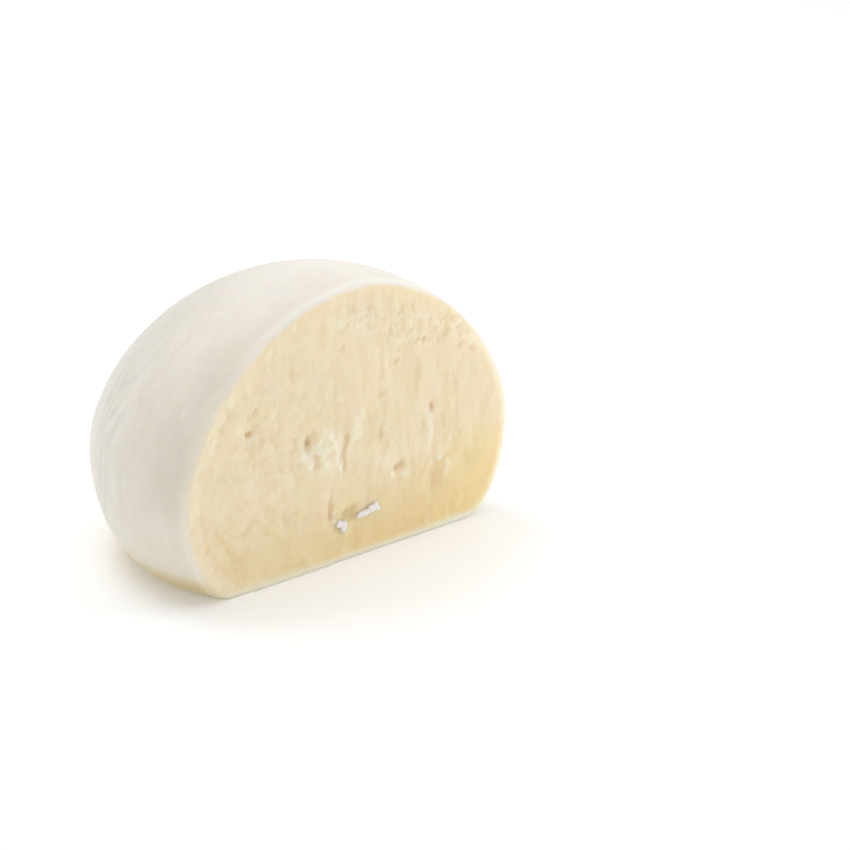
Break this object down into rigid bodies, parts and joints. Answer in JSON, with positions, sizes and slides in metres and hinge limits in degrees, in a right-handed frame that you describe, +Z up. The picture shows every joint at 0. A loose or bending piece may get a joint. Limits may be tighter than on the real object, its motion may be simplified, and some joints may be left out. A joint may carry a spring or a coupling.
{
  "type": "mozzarella ball",
  "caption": "Fresh mozzarella ball with its first slices cut away: smooth white skin over a creamy, pitted cut face, resting on a flat foot, for food and kitchen scenes.",
  "frame": {"origin": "on the flat foot, under the middle of the ball's belly", "axes": "+Z up, the cut faces -Y, +X to the right when looking at the cut"},
  "size_m": [0.0889, 0.0578, 0.0557],
  "materials": {
    "fresh_cheese": "moist satin, off-white skin and creamy cut"
  },
  "bodies": {
    "root": {"mozzarella_ball": "fresh_cheese"}
  },
  "joints": []
}
